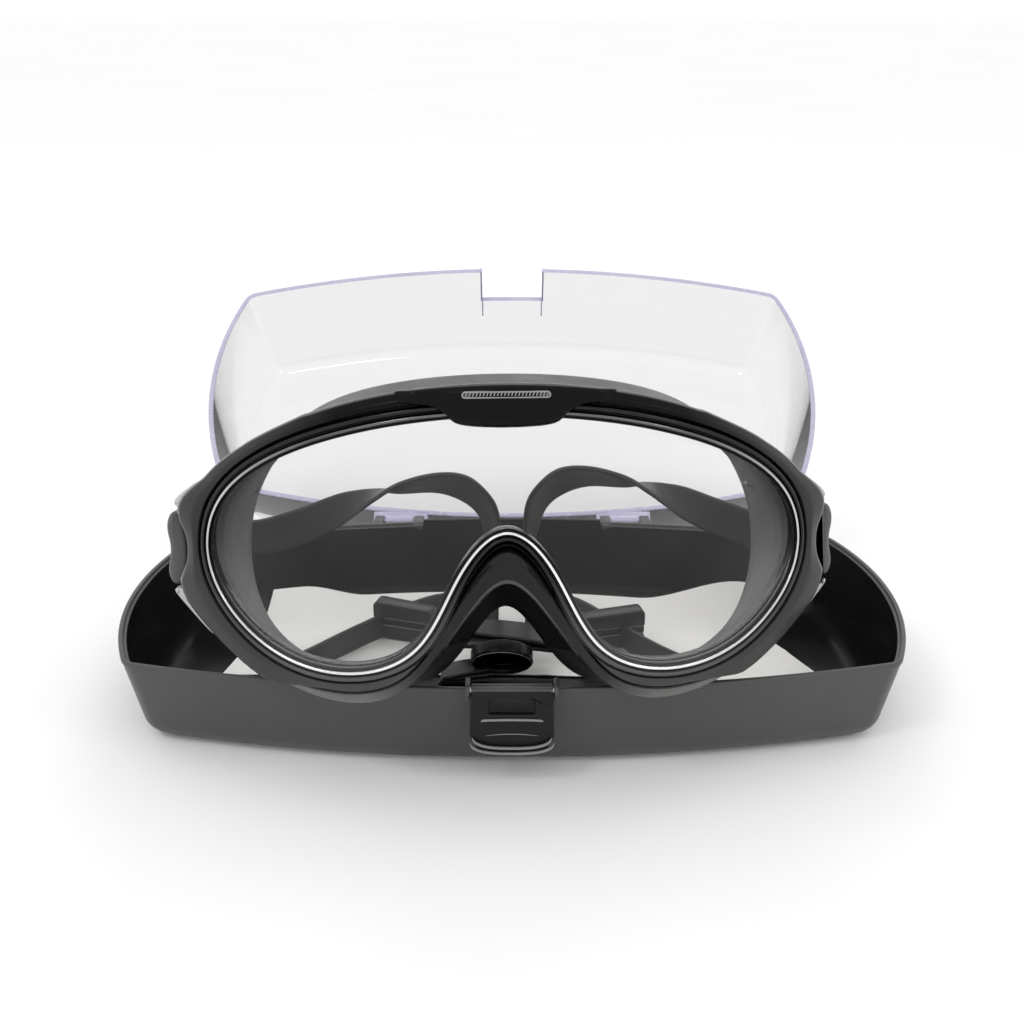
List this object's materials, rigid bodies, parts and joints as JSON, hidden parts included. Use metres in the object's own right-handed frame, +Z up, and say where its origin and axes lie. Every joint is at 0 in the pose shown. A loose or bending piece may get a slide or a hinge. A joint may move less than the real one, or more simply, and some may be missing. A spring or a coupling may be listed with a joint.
{
  "type": "swim goggles in carrying case",
  "caption": "Wide one-piece-lens swimming goggles with silicone skirt and strap, standing in an open hinged carrying case with clear lid and flip-up clasp.",
  "frame": {"origin": "centre of the tray's flat underside", "axes": "+X to the right end of the case, +Y towards its hinge side, +Z up"},
  "size_m": [0.218, 0.2301, 0.1043],
  "materials": {
    "tray_plastic": "satin moulded",
    "clasp_plastic": "satin moulded",
    "steel": "drawn wire",
    "lid_clear": "clear moulded, faint violet at its edges",
    "paper": "matt paper",
    "lens_clear": "clear polished",
    "frame_gloss": "gloss",
    "bead_bright": "high gloss",
    "badge_grey": "satin",
    "skirt_silicone": "soft satin silicone",
    "side_silver": "soft satin",
    "buckle_plastic": "satin",
    "strap_silicone": "soft satin silicone",
    "slider_plastic": "satin"
  },
  "bodies": {
    "case_tray": {"tray_shell": "tray_plastic", "hinge_pin_left": "steel", "hinge_pin_right": "steel", "clasp_pin": "steel", "leaflet": "paper"},
    "case_lid": {"lid_shell": "lid_clear"},
    "case_clasp": {"clasp": "clasp_plastic"},
    "goggles": {"lens": "lens_clear", "front_frame": "frame_gloss", "lens_bead": "bead_bright", "brow_cover": "frame_gloss", "badge_inlay": "badge_grey", "face_skirt": "skirt_silicone", "side_arm_left": "side_silver", "side_arm_right": "side_silver", "buckle_housing_left": "buckle_plastic", "buckle_housing_right": "buckle_plastic", "strap_roller_left": "steel", "strap_roller_right": "steel", "strap_left": "strap_silicone", "strap_right": "strap_silicone", "strap_tail_left": "strap_silicone", "strap_tail_right": "strap_silicone", "strap_slider_left": "slider_plastic", "strap_slider_right": "slider_plastic", "strap_loop": "strap_silicone", "strap_bridge": "strap_silicone"},
    "left_button": {"release_button_left": "buckle_plastic"},
    "right_button": {"release_button_right": "buckle_plastic"}
  },
  "joints": [
    {"name": "lid_hinge", "type": "hinge", "parent": "case_tray", "child": "case_lid", "pos_m": [0, 0.057, 0.024], "axis": [1, 0, 0], "range_deg": [0, 90]},
    {"name": "clasp_hinge", "type": "hinge", "parent": "case_tray", "child": "case_clasp", "pos_m": [0, -0.0564, 0.0273], "axis": [-1, 0, 0], "range_deg": [0, 165]},
    {"name": "goggles_lift", "type": "slide", "parent": "case_tray", "child": "goggles", "axis": [0, 0, 1], "range_m": [0, 0.15]},
    {"name": "left_button_press", "type": "slide", "parent": "goggles", "child": "left_button", "axis": [0.9994, 0.0349, 0], "range_m": [0, 0.0015], "stiffness_N_per_m": 400},
    {"name": "right_button_press", "type": "slide", "parent": "goggles", "child": "right_button", "axis": [-0.9994, -0.0349, 0], "range_m": [0, 0.0015], "stiffness_N_per_m": 400}
  ]
}
